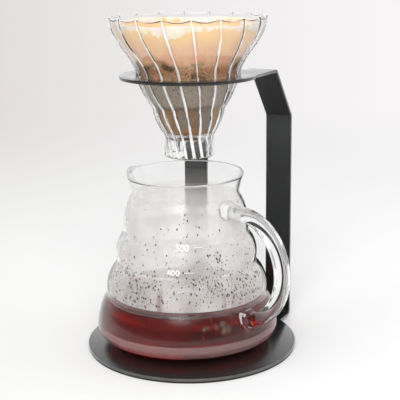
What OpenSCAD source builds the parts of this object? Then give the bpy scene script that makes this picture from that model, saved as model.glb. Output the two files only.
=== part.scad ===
// Pour-over coffee stand: a bent sheet frame that holds a fluted glass dripper over a glass server.
// Millimetres, +Z up. The origin is the centre of the pad's underside, and the legs stand at +Y.

/* [Stand] */
// Thickness of the steel sheet
sheet_t = 2; // [1.5:0.1:3]
// Thickness of the anti-slip pad under the base
pad_t = 1.1; // [0.8:0.1:3]
// How far the pad's edge sits inside the base's edge
pad_inset = 0.3; // [0.2:0.1:4]
// Width of base that shows around the widest part of the server
base_margin = 9; // [6:0.5:30]
// Gap from the rim of the base to the front of the legs
leg_setback = 2; // [1:0.1:20]
// Width of each leg
leg_w = 18; // [12:0.5:22]
// How far the outer edge of a leg lies inside the edge of the ring
leg_inset = 2.2; // [0:0.1:6]
// Height of the slanted stretch between leg and ring
slant_drop = 32.4; // [24:0.1:45]
// How far the ring's tongues reach behind the ring before they bend down
tongue_reach = 2.2; // [1:0.1:10]
// Inside radius of every bend
bend_r = 2; // [1:0.1:4]
// Diameter of the hole that the dripper hangs in
hole_d = 65; // [58:0.5:76]
// Width of the ring around the hole
ring_w = 10.2; // [7:0.1:16]

/* [Dripper] */
// Diameter of the rim, over the ridges
rim_d = 98; // [88:0.2:118]
// Height of the rim above the top of the ring
rim_rise = 36; // [28:0.5:54]
// Diameter at the waist between the bowl and the small cup
waist_d = 46.4; // [42:0.2:54]
// Depth of the waist below the top of the ring
waist_drop = 20.2; // [14:0.1:28]
// Height of the small cup below the waist
cup_h = 17.6; // [13:0.1:24]
// Diameter of the outlet stem
stem_d = 31.2; // [27:0.2:38]
// Height of the outlet stem
stem_h = 13; // [8:0.5:22]
// Diameter of the outlet hole
outlet_d = 16; // [9:0.5:20]
// Thickness of the web around the outlet hole
outlet_t = 2.2; // [1.5:0.1:4]
// Glass thickness
dripper_wall = 1.8; // [1.4:0.1:3]
// Number of flutes
flute_count = 18; // [12:1:24]
// Depth of a flute at the rim
flute_rim = 1.4; // [0.6:0.1:2.5]
// Depth of a flute at the stem
flute_stem = 0.8; // [0.3:0.1:1.5]
// Lean of the flutes around the axis
flute_lean = 9; // [0:0.5:20]
// How far the rim dips between two ridges
scallop = 1.6; // [0:0.1:3]
// Gap between the dripper and the hole that it hangs in
seat_gap = 0.3; // [0.2:0.05:0.8]

/* [Filter and grounds] */
// Thickness of the filter paper
paper_t = 0.5; // [0.3:0.05:0.8]
// Gap between the paper and the glass
paper_gap = 0.3; // [0.2:0.05:0.8]
// Depth of the paper's edge below the rim
paper_drop = 3.6; // [3:0.1:10]
// Height of the grounds above the top of the ring, at the paper
bed_rise = 9; // [-5:0.5:14]
// Depth of the hollow in the top of the grounds
bed_dish = 3.5; // [1:0.5:10]
// Gap between the grounds and the paper
bed_gap = 0.1; // [0.05:0.05:0.4]

/* [Server] */
// Largest diameter of the server
server_d = 117; // [104:1:136]
// Height of the largest diameter above the foot
girth_h = 11.4; // [8:0.1:15]
// Height of each bulge, from the lowest up
bulge_h = [32.4, 20.2, 20, 25]; // [16:0.1:40]
// Diameter at each crease and at the neck, from the lowest up
crease_d = [103.6, 88.8, 79.6, 68.4]; // [54:0.2:108]
// How far each bulge bows out from the line between its creases
bulge_bow = [1.6, 2.9, 2.9, 2.2]; // [0.5:0.05:5]
// Diameter of the mouth
mouth_d = 74.6; // [62:0.2:90]
// Height of the neck, from its narrowest point to the mouth
neck_h = 12.6; // [8:0.1:28]
// Glass thickness of the walls
server_wall = 2; // [1.5:0.1:3]
// Glass thickness of the bottom
server_floor = 4.7; // [3.2:0.1:6.5]
// Diameter of the foot ring
foot_d = 76; // [54:1:86]
// Width of the foot ring
foot_w = 3.6; // [2:0.1:8]
// Rise of the hollow under the bottom
punt = 1.3; // [0.5:0.1:2.2]
// Gap between the foot and the base
foot_gap = 0.1; // [0.05:0.05:0.4]
// Gap from the mouth up to the dripper's outlet
drip_gap = 11.6; // [6:0.1:36]
// Place of the server's axis, left to right, from the centre of the base
server_x = -4; // [-8:0.5:8]
// Place of the server's axis, front to back, from the centre of the base
server_y = 2; // [-8:0.5:8]
// Height of the coffee above the foot
coffee_level = 28.8; // [18:0.1:32]
// Gap between the coffee and the glass
coffee_gap = 0.1; // [0.05:0.05:0.4]

/* [Handle] */
// Direction of the handle around the server
handle_turn = -20; // [-90:1:45]
// Distance from the server's axis to the far side of the handle's middle line
handle_reach = 83.6; // [76:0.2:100]
// Height of the handle's top above the highest crease
handle_up = 19; // [13:0.1:22]
// Depth of the handle's lower end below the lowest crease
handle_down = 7; // [4:0.1:13]
// Width of the handle, across the loop
handle_w = 9; // [6:0.2:13]
// Thickness of the handle, in the loop's plane
handle_t = 8.2; // [6:0.2:11]
// Corner radius of the handle's section
handle_round = 2.7; // [1:0.1:3]
// Radius of the rounded welds where the handle meets the server
weld_r = 6.1; // [5:0.1:8]
// Gap left at the welds
weld_gap = 0.05; // [0.02:0.01:0.1]

/* [Hidden] */
$fn = 96;

// Points along each bend of the sheet
bend_steps = 6;
// Points along one bulge of the server, and along the round of its heel
arc_steps = 8;
// Points along the neck of the server
neck_steps = 6;
// Rings of points along each stretch of the dripper, and points across one flute
bowl_rings = 8;
cup_rings = 4;
flute_steps = 5;
// Points along the dripper-shaped stretches of the filter and the grounds
paper_steps = 18;

// Heights on the stand and the server
base_z = pad_t + sheet_t;
foot_z = base_z + foot_gap;
crease_z = [for (i = [0 : 3]) foot_z + sum_to(bulge_h, i)];
girth_z = foot_z + girth_h;
mouth_z = crease_z[3] + neck_h;
outlet_z = mouth_z + drip_gap;
stem_z = outlet_z + stem_h;
waist_z = stem_z + cup_h;
ring_z = waist_z + waist_drop;
rim_z = ring_z + rim_rise;

// Plan sizes of the stand
base_d = server_d + 2 * base_margin;
ring_d = hole_d + 2 * ring_w;
leg_y = base_d / 2 + leg_setback;
leg_x = ring_d / 2 - leg_inset - leg_w;
slant_y = ring_d / 2 + tongue_reach;

// Sum of a list's values from the first to number i
function sum_to(list, i) = i < 0 ? 0 : list[i] + sum_to(list, i - 1);

// A point between a and b, where t runs from 0 to 1
function between(a, b, t) = a + (b - a) * t;

// Points of the circular arc from a to b that bows out to the right by the given height, without its end b
function bowed(a, b, bow, steps) =
    let (
        half = norm(b - a) / 2,
        radius = (half * half + bow * bow) / (2 * bow),
        out = [(b - a)[1], -(b - a)[0]] / (2 * half),
        centre = (a + b) / 2 + out * (bow - radius),
        from = atan2((a - centre)[1], (a - centre)[0]),
        sweep = 2 * asin(half / radius)
    )
    [for (i = [0 : steps - 1]) centre + radius * [cos(from + sweep * i / steps), sin(from + sweep * i / steps)]];

// A list of points [r, z] turned round to [z, r], so that lookup() can find r at a height
function by_height(points) = [for (p = points) [p[1], p[0]]];

// Frame

// Angle from one direction to the next, positive to the left
function bend_angle(a, b) = atan2(a[0] * b[1] - a[1] * b[0], a * b);

// A direction turned to its left
function left_of(d) = [-d[1], d[0]];

function turned(d, a) = [d[0] * cos(a) - d[1] * sin(a), d[0] * sin(a) + d[1] * cos(a)];

// One edge of a sheet of thickness t along a path with bends of inside radius r: the left edge for side 1, the
// right edge for side -1
function strip_edge(path, t, r, side) =
    let (
        last = len(path) - 1,
        along = [for (i = [0 : last - 1]) (path[i + 1] - path[i]) / norm(path[i + 1] - path[i])]
    )
    concat(
        [path[0] + side * t / 2 * left_of(along[0])],
        [for (i = [1 : last - 1])
            let (
                a = bend_angle(along[i - 1], along[i]),
                inward = sign(a) * left_of(along[i - 1]),
                start = path[i] - along[i - 1] * (r + t / 2) * tan(abs(a) / 2),
                centre = start + inward * (r + t / 2),
                edge_r = r + t / 2 - sign(a) * side * t / 2
            )
            for (k = [0 : bend_steps]) centre - edge_r * turned(inward, a * k / bend_steps)],
        [path[last] + side * t / 2 * left_of(along[last - 1])]
    );

// A stretch of bent sheet in side view
module bent_strip(path, t, r) {
    right = strip_edge(path, t, r, -1);
    polygon(concat(strip_edge(path, t, r, 1), [for (i = [len(right) - 1 : -1 : 0]) right[i]]));
}

// Puts two copies side by side, one for each leg
module each_leg() {
    for (side = [0, 1])
        mirror([side, 0, 0])
            children();
}

// The flat tongues of a plate, from its middle back to a bend
module tongues(reach) {
    each_leg()
        translate([leg_x, 0])
            square([leg_w, reach]);
}

module stand_frame() {
    leg_middle = leg_y + sheet_t / 2;
    base_middle = pad_t + sheet_t / 2;
    ring_middle = ring_z - sheet_t / 2;
    bend_room = 3 * (bend_r + sheet_t);
    color([0.16, 0.17, 0.17]) {
        translate([0, 0, pad_t])
            linear_extrude(sheet_t) {
                circle(d = base_d);
                tongues(leg_middle - bend_room);
            }
        translate([0, 0, ring_z - sheet_t])
            linear_extrude(sheet_t)
                difference() {
                    union() {
                        circle(d = ring_d);
                        tongues(slant_y - bend_room);
                    }
                    circle(d = hole_d);
                }
        each_leg()
            translate([leg_x, 0, 0])
                rotate([90, 0, 90])
                    linear_extrude(leg_w)
                        bent_strip(
                            [
                                [leg_middle - bend_room, base_middle],
                                [leg_middle, base_middle],
                                [leg_middle, ring_middle - slant_drop],
                                [slant_y, ring_middle],
                                [slant_y - bend_room, ring_middle]
                            ],
                            sheet_t, bend_r
                        );
    }
}

module anti_slip_pad() {
    color([0.08, 0.08, 0.08])
        cylinder(d = base_d - 2 * pad_inset, h = pad_t);
}

// Dripper

// The bowl swells from the ring to the rim in an S curve, and the two lower bowls round in towards their ends
bowl_lean = 0.85;
cup_curve = 1.5;

seat_r = hole_d / 2 - seat_gap;
stem_r = stem_d / 2;
waist_r = waist_d / 2;

// Outline over the ridges, from the bottom of the stem to the rim, as points [r, z]
dripper_outline = concat(
    [[stem_r, outlet_z]],
    round_in([stem_r, stem_z], [waist_r, waist_z], cup_rings),
    round_in([waist_r, waist_z], [seat_r, ring_z], cup_rings),
    [for (i = [0 : bowl_rings])
        let (t = i / bowl_rings)
        [between(seat_r, rim_d / 2, (1 - cos(180 * pow(t, bowl_lean))) / 2), between(ring_z, rim_z, t)]]
);
dripper_heights = by_height(dripper_outline);

// Points of a bowl that rounds in from its top to its bottom, without the top
function round_in(bottom, top, steps) =
    [for (i = [0 : steps - 1])
        let (t = 1 - i / steps)
        [between(top[0], bottom[0], pow(t, cup_curve)), between(top[1], bottom[1], t)]];

function ridge_r(z) = lookup(z, dripper_heights);
function flute_depth(z) = between(flute_stem, flute_rim, (z - outlet_z) / (rim_z - outlet_z));
// Clear radius inside the glass, at the bottom of the flutes
function clear_r(z) = ridge_r(z) - flute_depth(z) - dripper_wall;

// Inside of the glass, from the rim down to the outlet and out at the bottom of the stem, measured like the outline
cup_floor_z = stem_z + dripper_wall;
dripper_inside = concat(
    [for (i = [len(dripper_outline) - 2 : -1 : 2])
        if (dripper_outline[i][1] > cup_floor_z) dripper_outline[i] - [dripper_wall, 0]],
    [
        [ridge_r(cup_floor_z) - dripper_wall, cup_floor_z],
        [outlet_d / 2, cup_floor_z],
        [outlet_d / 2, cup_floor_z - outlet_t],
        [stem_r - dripper_wall, cup_floor_z - outlet_t - dripper_wall],
        [stem_r - dripper_wall, outlet_z]
    ]
);

// Both walls and the rounded lip between them
lip_r = rim_d / 2 - dripper_wall / 2;
dripper_wall_points = concat(
    dripper_outline,
    [[lip_r, rim_z + dripper_wall / 4], [rim_d / 2 - dripper_wall, rim_z]],
    dripper_inside
);

// Turn of the flutes at each height, from none at the rim, for a constant lean along the glass
function flute_turn(z, step = 2) =
    z >= rim_z ? 0 : flute_turn(z + step) + tan(flute_lean) * step / ridge_r(z) * 180 / PI;

// One point of the wall: a ridge lies where the wave is 0, and the rim dips between the ridges
function wall_point(p, a, turned) =
    let (
        wave = abs(sin(a * flute_count / 2)),
        depth = p[0] > outlet_d / 2 ? flute_depth(p[1]) : 0,
        r = p[0] - depth * wave,
        dip = scallop * wave * pow(max(0, (p[1] - ring_z) / rim_rise), 6)
    )
    [r * cos(a + turned), r * sin(a + turned), p[1] - dip];

module dripper() {
    rings = len(dripper_wall_points);
    columns = flute_count * flute_steps;
    points = [for (p = dripper_wall_points)
        let (turned = flute_turn(p[1]))
        for (c = [0 : columns - 1]) wall_point(p, 360 * c / columns, turned)];
    faces = [for (i = [0 : rings - 1], c = [0 : columns - 1])
        let (
            a = i * columns + c,
            b = i * columns + (c + 1) % columns,
            up = ((i + 1) % rings - i) * columns
        )
        each [[a, a + up, b + up], [a, b + up, b]]];
    color([0.85, 0.9, 0.9, 0.4])
        polyhedron(points, faces);
}

// Filter and grounds

paper_foot_z = cup_floor_z + paper_gap;
paper_top_z = rim_z - paper_drop;
// Outside radius of the paper, which lies against the glass
function paper_r(z) = clear_r(z) - paper_gap;
// Heights of the paper's points between two levels
function paper_levels(low, high) = [for (i = [0 : paper_steps]) between(low, high, i / paper_steps)];

module paper_filter() {
    levels = paper_levels(paper_foot_z, paper_top_z);
    inner = paper_levels(paper_foot_z + paper_t, paper_top_z);
    color([0.93, 0.83, 0.68])
        rotate_extrude()
            polygon(concat(
                [[0, paper_foot_z]],
                [for (z = levels) [paper_r(z), z]],
                [for (i = [paper_steps : -1 : 0]) [paper_r(inner[i]) - paper_t, inner[i]]],
                [[0, paper_foot_z + paper_t]]
            ));
}

module coffee_bed() {
    levels = paper_levels(paper_foot_z + paper_t + bed_gap, ring_z + bed_rise);
    color([0.2, 0.12, 0.07])
        rotate_extrude()
            polygon(concat(
                [[0, levels[0]]],
                [for (z = levels) [paper_r(z) - paper_t - bed_gap, z]],
                [[0, ring_z + bed_rise - bed_dish]]
            ));
}

// Server

girth_r = server_d / 2;
crease_points = [for (i = [0 : 3]) [crease_d[i] / 2, crease_z[i]]];
mouth_point = [mouth_d / 2, mouth_z];

// The heel rounds in under the girth, and the bottom slopes from there to the foot ring
heel_in = 5;
heel_drop = 6.5;
heel_bow = 1.7;
heel_point = [girth_r - heel_in, girth_z - heel_drop];
neck_curve = 1.6;

// Outside of the server from the heel up, as points [r, z]
server_outline = concat(
    bowed(heel_point, [girth_r, girth_z], heel_bow, arc_steps),
    bowed([girth_r, girth_z], crease_points[0], bulge_bow[0], arc_steps),
    [for (i = [0 : 2]) each bowed(crease_points[i], crease_points[i + 1], bulge_bow[i + 1], arc_steps)],
    [for (i = [0 : neck_steps])
        let (t = i / neck_steps)
        [between(crease_points[3][0], mouth_point[0], pow(t, neck_curve)),
         between(crease_points[3][1], mouth_point[1], t)]]
);
server_heights = by_height(server_outline);

// Inside of the server: the wall, and a round of its own between the wall and the floor
floor_z = foot_z + server_floor;
inner_heel = 8.1;
function inside_r(z) =
    let (corner = max(0, floor_z + inner_heel - z) / inner_heel)
    lookup(max(z, girth_z), server_heights) - server_wall - inner_heel * (1 - sqrt(1 - corner * corner));
inside_levels = concat(
    [for (i = [0 : arc_steps]) floor_z + inner_heel * (1 - cos(90 * i / arc_steps))],
    [for (p = server_outline) if (p[1] > floor_z + inner_heel + 1) p[1]]
);

// The outside as one closed outline, made larger or smaller by a margin
module server_section(margin = 0) {
    polygon(concat(
        [[0, foot_z - margin], [foot_d / 2, foot_z - margin]],
        [for (p = server_outline) p + [margin, 0]],
        [[0, mouth_z]]
    ));
}

module at_server() {
    translate([server_x, server_y, 0])
        children();
}

module server_body() {
    lip = server_wall / 2;
    color([0.85, 0.9, 0.9, 0.35])
        at_server()
            rotate_extrude() {
                difference() {
                    server_section();
                    polygon(concat(
                        [[0, floor_z]],
                        [for (z = inside_levels) [inside_r(z), z]],
                        [[inside_r(mouth_z), mouth_z + lip], [0, mouth_z + lip]]
                    ));
                    polygon([[0, foot_z], [0, foot_z + punt], [foot_d / 2 - foot_w, foot_z]]);
                }
                translate(mouth_point - [lip, 0])
                    circle(lip);
            }
}

// Section of the handle, rounded at its corners
module handle_section() {
    for (x = [-1, 1], y = [-1, 1])
        translate([x * (handle_t / 2 - handle_round), y * (handle_w / 2 - handle_round)])
            circle(handle_round);
    square([handle_t - 2 * handle_round, handle_w], center = true);
    square([handle_t, handle_w - 2 * handle_round], center = true);
}

module server_handle() {
    top_z = crease_z[2] + handle_up;
    low_z = crease_z[0] - handle_down;
    loop_r = (top_z - low_z) / 2;
    loop_x = handle_reach - loop_r;
    loop_z = (top_z + low_z) / 2;
    top_r = lookup(top_z, server_heights);
    low_r = lookup(low_z, server_heights);
    top_run = loop_x - top_r + weld_r;
    sweep = 180 + asin((loop_x - low_r + weld_r) / loop_r);
    color([0.85, 0.9, 0.9, 0.35])
        at_server()
            rotate([0, 0, handle_turn])
                difference() {
                    translate([loop_x, 0, loop_z])
                        rotate([90, 0, 0]) {
                            mirror([1, 0, 0])
                                rotate([0, 0, 90])
                                    rotate_extrude(angle = sweep)
                                        translate([loop_r, 0])
                                            handle_section();
                            translate([0, loop_r, 0])
                                rotate([0, -90, 0])
                                    rotate([0, 0, 90])
                                        linear_extrude(top_run)
                                            handle_section();
                            translate([top_r + weld_r / 4 - loop_x, loop_r, 0])
                                rotate([0, 90, 0])
                                    sphere(weld_r);
                            translate([low_r + weld_r / 4 - loop_x, -loop_r, 0])
                                rotate([0, 90, 0])
                                    sphere(weld_r);
                        }
                    rotate_extrude()
                        server_section(weld_gap);
                }
}

module brewed_coffee() {
    low = floor_z + coffee_gap;
    high = foot_z + coffee_level;
    steps = 2 * arc_steps;
    levels = [for (i = [0 : steps]) between(low, high, pow(i / steps, 2))];
    color([0.25, 0.05, 0.04])
        at_server()
            rotate_extrude()
                polygon(concat(
                    [[0, low]],
                    [for (z = levels) [inside_r(z) - coffee_gap, z]],
                    [[0, high]]
                ));
}

stand_frame();
anti_slip_pad();
dripper();
paper_filter();
coffee_bed();
server_body();
server_handle();
brewed_coffee();
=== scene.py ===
"""Looks for the pour-over dripper stand: glass, paper, coffee, powder-coated sheet, studio and camera."""

import math

import bmesh
import bpy
import numpy as np
from mathutils import Matrix, Vector


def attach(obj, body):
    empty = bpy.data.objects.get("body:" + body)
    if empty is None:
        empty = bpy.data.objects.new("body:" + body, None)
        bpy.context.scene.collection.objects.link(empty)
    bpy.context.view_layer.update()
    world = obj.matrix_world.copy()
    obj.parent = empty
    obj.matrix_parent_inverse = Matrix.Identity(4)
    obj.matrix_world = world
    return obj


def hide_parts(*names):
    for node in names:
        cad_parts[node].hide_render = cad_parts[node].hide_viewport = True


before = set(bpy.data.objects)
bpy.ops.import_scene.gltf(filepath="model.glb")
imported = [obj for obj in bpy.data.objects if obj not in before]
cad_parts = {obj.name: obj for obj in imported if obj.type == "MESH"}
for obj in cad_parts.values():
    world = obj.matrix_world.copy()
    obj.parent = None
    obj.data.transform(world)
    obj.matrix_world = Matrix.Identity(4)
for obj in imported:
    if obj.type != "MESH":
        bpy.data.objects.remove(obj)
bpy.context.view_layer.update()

MM = 0.001

# Sizes of the stand, in millimetres
SHEET = 2.0
BASE_Z = 3.1
RING_Z = 175.8
EDGE_ROUND, EDGE_TURN = 0.28, math.radians(40)

# Sizes of the dripper
RIM_R, RIM_Z = 49.0, 211.8
SEAT_R = 32.2
WAIST_R, WAIST_Z = 23.2, 155.6
STEM_R, STEM_Z, OUTLET_Z = 15.6, 138.0, 125.0
OUTLET_R, OUTLET_WEB = 8.0, 1.2
DRIPPER_WALL = 1.8
CUP_FLOOR_Z = STEM_Z + DRIPPER_WALL
BOWL_LEAN, CUP_CURVE = 0.85, 1.5
FLUTES = 18
FLUTE_RIM, FLUTE_STEM, FLUTE_FADE = 1.4, 0.8, 3.0
FLUTE_LEAN = math.radians(9)
INNER_FLUTE, RIDGE_ROUND = 0.45, 0.10
# The second number below is the share of each bead's width that gets the pale glass of the painted highlight
BEAD, BEAD_HIGHLIGHT_CORE = 0.6, 0.8
BEAD_HALF_RIM, BEAD_HALF_CUP = 0.6, 1.05
LIP = 0.8
SCALLOP, SCALLOP_CURVE = 1.6, 6
DRIPPER_STEP, DRIPPER_SOFT = 1.25, 0.5

# Sizes of the filter and the grounds
PAPER, PAPER_GAP, PAPER_TOP_Z = 0.4, 0.3, 208.0
PAPER_FOOT_Z = CUP_FLOOR_Z + PAPER_GAP
PAPER_LOOSE_Z, PAPER_SWAY, PAPER_WAVE = 150.0, 0.006, 0.7
PAPER_FREE = 0.985
SEAM_TURN, SEAM_W, SEAM_T, SEAM_GAP = math.radians(112), 7.0, 0.22, 0.18
SEAM_LOW, SEAM_TOP = PAPER_FOOT_Z + 12, PAPER_TOP_Z - 0.8
SEAM_CRIMP, SEAM_PITCH = 0.10, 1.6
SEAM_ACROSS = (-1, -0.8, 0, 0.8, 1)
BED_TOP_Z, BED_DISH, BED_CURVE = 184.8, 3.5, 2.2
BED_GAP, BED_ROUGH = 0.5, 0.22

# Sizes of the server
SERVER_X, SERVER_Y = -4.0, 2.0
FOOT_Z = 3.2
FOOT_R, FOOT_W, PUNT = 38.0, 3.6, 1.3
GIRTH_R, GIRTH_Z = 58.5, FOOT_Z + 11.4
CREASES = [(51.8, 35.6), (44.4, 55.8), (39.8, 75.8), (34.2, 100.8)]
BOWS = [1.6, 2.9, 2.9, 2.2]
HEEL, HEEL_BOW = (53.5, GIRTH_Z - 6.5), 1.7
MOUTH_R, MOUTH_Z = 37.3, 113.4
NECK_CURVE = 1.6
SERVER_WALL, UPPER_WALL, WALL_RUN = 2.0, 1.4, 18.0
FLOOR_Z = FOOT_Z + 4.7
INNER_HEEL = 8.1
RIM_LOW_Z, RIM_CURVE = 98.0, 1.5
RIM_DIP, RIM_DIP_TURN = 1.6, math.radians(255)
SPOUT_OUT, SPOUT_UP = 1.6, 1.8
SPOUT_TURN, SPOUT_HALF = math.radians(190), math.radians(15)
# Zones of the server's glasses that paint light: a highlight at the lip, a pink reflection at the foot and a
# red glow under the heel
LIP_GLASS, FOOT_GLASS_Z, HEEL_GLASS_Z = 0.2, 17.6, HEEL[1] + 0.3
SERVER_STEP, SERVER_SOFT, SERVER_TURNS = 0.85, 0.62, 168
SKIN_SOFT, SKIN_ENDS = 0.6, 4

# Sizes of the handle and its welds
HANDLE_TURN = math.radians(-20)
HANDLE_TOP, HANDLE_LOW, HANDLE_REACH = 94.8, 28.6, 83.6
HANDLE_W, HANDLE_T, HANDLE_ROUND = 9.0, 8.2, 2.7
HANDLE_STEP, HANDLE_START, HANDLE_CLEAR = 0.8, 0.3, 0.02
WELD_SWELL, WELD_RUN = 1.45, 4.0
# How far out from the body the weld glass reaches, which paints highlights on the welds
WELD_FROM, WELD_TO = 0.8, 11.0
LOW_WELD_Z, LOW_WELD_FROM, LOW_WELD_TO = CREASES[1][1], 0.3, 5.0

# Sizes of the coffee, its bubbles and spray, and the steam
COFFEE_Z, MENISCUS, MENISCUS_RUN = 32.0, 1.1, 1.3
INTO_GLASS = 0.25
BUBBLES_LOW_Z, BUBBLES_TOP_Z, BUBBLES_OFF_GLASS, BUBBLES_AFLOAT = 21.0, 31.0, 0.4, 0.25
FLOAT_TURN = math.radians(-40)
CLING_TURN, CLING_HALF = math.radians(-38), math.radians(15)
SPRAY_LOW_Z, SPRAY_TOP_Z, SPRAY_OFF_GLASS = COFFEE_Z + 3, 104.0, 0.12
SPRAY_PATCHES, SPRAY_PATCH_H, SPRAY_PATCH_Z, SPRAY_PATCH_HALF = 46, 7.0, (34, 96), (0.12, 0.3)
SPRAY_HEIGHTS = [34, 42, 54, 58, 64, 78, 90, 104]
SPRAY_WETNESS = [0.6, 1.0, 1.0, 0.7, 0.3, 0.2, 0.14, 0.02]
STEAM_LOW_Z, STEAM_TOP_Z, STEAM_OFF_GLASS = COFFEE_Z + 1.0, 112.0, 0.8
RUN_FADE = 6.0

# Streaks that ran down the steam: turn and half width in degrees, top and strength
STEAM_RUNS = [
    (-82, 2.2, 52, 0.9), (-35, 1.4, 51, 0.6), (-28, 1.2, 50, 0.5), (-112, 2.0, 48, 0.4), (-60, 5.0, 46, 0.3),
    (15, 2.0, 50, 0.7), (64, 1.8, 53, 0.6), (108, 2.4, 50, 0.8), (171, 1.6, 52, 0.6), (-150, 2.0, 49, 0.5)]

# Volume scale: each number, its height and its left end along the glass
SCALE_MARKS = [("500", 75.0, -5.4), ("400", 60.6, -10.9)]
SCALE_TURN = math.radians(-64)
DIGIT_H, DIGIT_DROP, DIGIT_BOLD = 5.4, 1.9, 0.07
LINE_START, LINE_END, LINE_HALF, LINE_ROWS = 10.8, 16.8, 0.2, 12
INK, INK_GAP = 0.06, 0.06

# Camera, from the fit to the edges of the stand
CAMERA_STAND = math.radians(27.739)
CAMERA_HEADING = math.radians(27.739 - 0.592)
CAMERA_PITCH = math.radians(13.890)
CAMERA_ROLL = math.radians(0.649)
CAMERA_DISTANCE, CAMERA_HEIGHT = 618.75, 248.73
FOCAL_PIXELS, FRAME_PIXELS, SENSOR = 1001.34, 400, 36.0

# Studio: the floor in metres, with the spread of its painted shade across the sides and its runs to the far
# tone and the backdrop
FLOOR_HALF, FLOOR_SIDE = 9.0, 0.2
NEAR_FLOOR, FAR_FLOOR = (0.22, 1.1), (6.0, 8.5)
BACKDROP, BACKDROP_LEVEL = (1.05, 1.04, 1.04), 0.85

# Room: the way to its dark side, and a window whose width and height are shares of its distance
ROOM_TURN, ROOM_RISE = CAMERA_STAND - math.radians(25), math.radians(15)
WINDOW_TURN, WINDOW_RISE = math.radians(16), math.radians(39)
WINDOW_WIDE, WINDOW_TALL, WINDOW_BRIGHT = 0.20, 0.12, 7.0

# Lamps: name, turn and rise in degrees, distance and side in metres, and power
LAMPS = [("key_softbox", -49, 44, 1.4, 0.9, 3.5), ("front_fill", 27, 28, 1.6, 1.2, 18.5)]
LAMP_AIM_Z = 0.08


# Curves and meshes

def between(a, b, t):
    return a + (b - a) * t


def bell(x):
    return np.exp(-x ** 2)


def turned_off(turn, at):
    """How far each turn is from the given one, from minus half a turn to half a turn."""
    return np.angle(np.exp(1j * (turn - at)))


def bowed(a, b, bow, steps=24):
    """Points of the arc from a to b that bows out to the right by the given height, without b."""
    a, b = np.array(a, float), np.array(b, float)
    half = np.linalg.norm(b - a) / 2
    radius = (half * half + bow * bow) / (2 * bow)
    out = np.array([(b - a)[1], -(b - a)[0]]) / (2 * half)
    centre = (a + b) / 2 + out * (bow - radius)
    start = math.atan2(*(a - centre)[::-1])
    sweep = 2 * math.asin(half / radius)
    angles = start + sweep * np.arange(steps) / steps
    return [centre + radius * np.array([math.cos(t), math.sin(t)]) for t in angles]


def resampled(points, step, closed=False):
    """The path through the points at even steps."""
    p = np.array(points, float)
    if closed:
        p = np.vstack([p, p[:1]])
    run = np.concatenate([[0], np.cumsum(np.linalg.norm(np.diff(p, axis=0), axis=1))])
    count = max(3, int(round(run[-1] / step)))
    at = np.linspace(0, run[-1], count + 1)
    if closed:
        at = at[:-1]
    return np.stack([np.interp(at, run, p[:, k]) for k in range(p.shape[1])], 1)


def softened(points, step, spread, ends="loop"):
    """An evenly stepped profile [r, z] whose corners are rounded over about the given spread.

    A loop runs on past its ends, and a profile that ends on the axis runs on to the axis's other side."""
    p = resampled(points, step, closed=ends == "loop")
    reach = int(4 * spread / step) + 2
    if ends == "loop":
        padded = np.vstack([p[-reach:], p, p[:reach]])
    else:
        over = np.array([-1.0, 1.0])
        padded = np.vstack([p[1:reach + 1][::-1] * over, p, p[-reach - 1:-1][::-1] * over])
    k = np.arange(-reach, reach + 1) * step
    weight = np.exp(-0.5 * (k / spread) ** 2)
    weight /= weight.sum()
    return np.stack([np.convolve(padded[:, i], weight, "valid") for i in (0, 1)], 1)


def link_new(name, data):
    obj = bpy.data.objects.new(name, data)
    bpy.context.scene.collection.objects.link(obj)
    return obj


def shade(mesh, smooth=True):
    mesh.polygons.foreach_set("use_smooth", [smooth] * len(mesh.polygons))


def new_object(name, verts, faces, smooth=True):
    mesh = bpy.data.meshes.new(name)
    mesh.from_pydata([tuple(v) for v in verts], [], faces)
    mesh.validate()
    shade(mesh, smooth)
    return link_new(name, mesh)


def evaluated_mesh(obj):
    """A plain mesh of the object as it stands, with its modifiers or its text worked out."""
    bpy.context.view_layer.update()
    return bpy.data.meshes.new_from_object(obj.evaluated_get(bpy.context.evaluated_depsgraph_get()))


def even_angles(turns):
    return [2 * math.pi * k / turns for k in range(turns)]


def lathe(name, profile, angles, centre=(0.0, 0.0), loop=False):
    """A surface of revolution from a profile [r, z] in millimetres. Points on the axis become poles.

    The angles are the same for every row, or one list for each row."""
    verts, rings = [], []
    x, y = centre
    turns = np.shape(angles)[-1]
    for (r, z), row in zip(profile, np.broadcast_to(angles, (len(profile), turns))):
        if r < 1e-4:
            rings.append([len(verts)] * turns)
            verts.append((x * MM, y * MM, z * MM))
        else:
            rings.append(list(range(len(verts), len(verts) + turns)))
            for a in row:
                verts.append(((x + r * math.cos(a)) * MM, (y + r * math.sin(a)) * MM, z * MM))
    faces = []
    for i in range(len(rings) - (0 if loop else 1)):
        low, high = rings[i], rings[(i + 1) % len(rings)]
        for c in range(turns):
            d = (c + 1) % turns
            corner = [low[c], low[d], high[d], high[c]]
            corner = [v for k, v in enumerate(corner) if v not in corner[:k]]
            if len(corner) > 2:
                faces.append(corner)
    return new_object(name, verts, faces)


def face_outwards(obj):
    b = bmesh.new()
    b.from_mesh(obj.data)
    bmesh.ops.remove_doubles(b, verts=b.verts, dist=1e-7)
    bmesh.ops.recalc_face_normals(b, faces=b.faces)
    b.to_mesh(obj.data)
    b.free()
    return obj


def point_values(obj, name, values):
    layer = obj.data.attributes.new(name, "FLOAT", "POINT")
    layer.data.foreach_set("value", np.asarray(values, np.float32))


def coordinates(obj):
    co = np.zeros(len(obj.data.vertices) * 3, np.float32)
    obj.data.vertices.foreach_get("co", co)
    return co.reshape(-1, 3).astype(float)


def move_points(obj, co):
    obj.data.vertices.foreach_set("co", co.astype(np.float32).ravel())


def dress(mesh, *materials):
    mesh.materials.clear()
    for material in materials:
        mesh.materials.append(material)


def seat(obj, body, slot, material, *nodes):
    """Gives a finished piece its material and body, and hides the CAD nodes that it stands for. The record
    slot is not used.
    """
    if material is not None:
        dress(obj.data, material)
    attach(obj, body)
    if nodes:
        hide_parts(*nodes)
    return obj


# Node helpers

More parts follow.
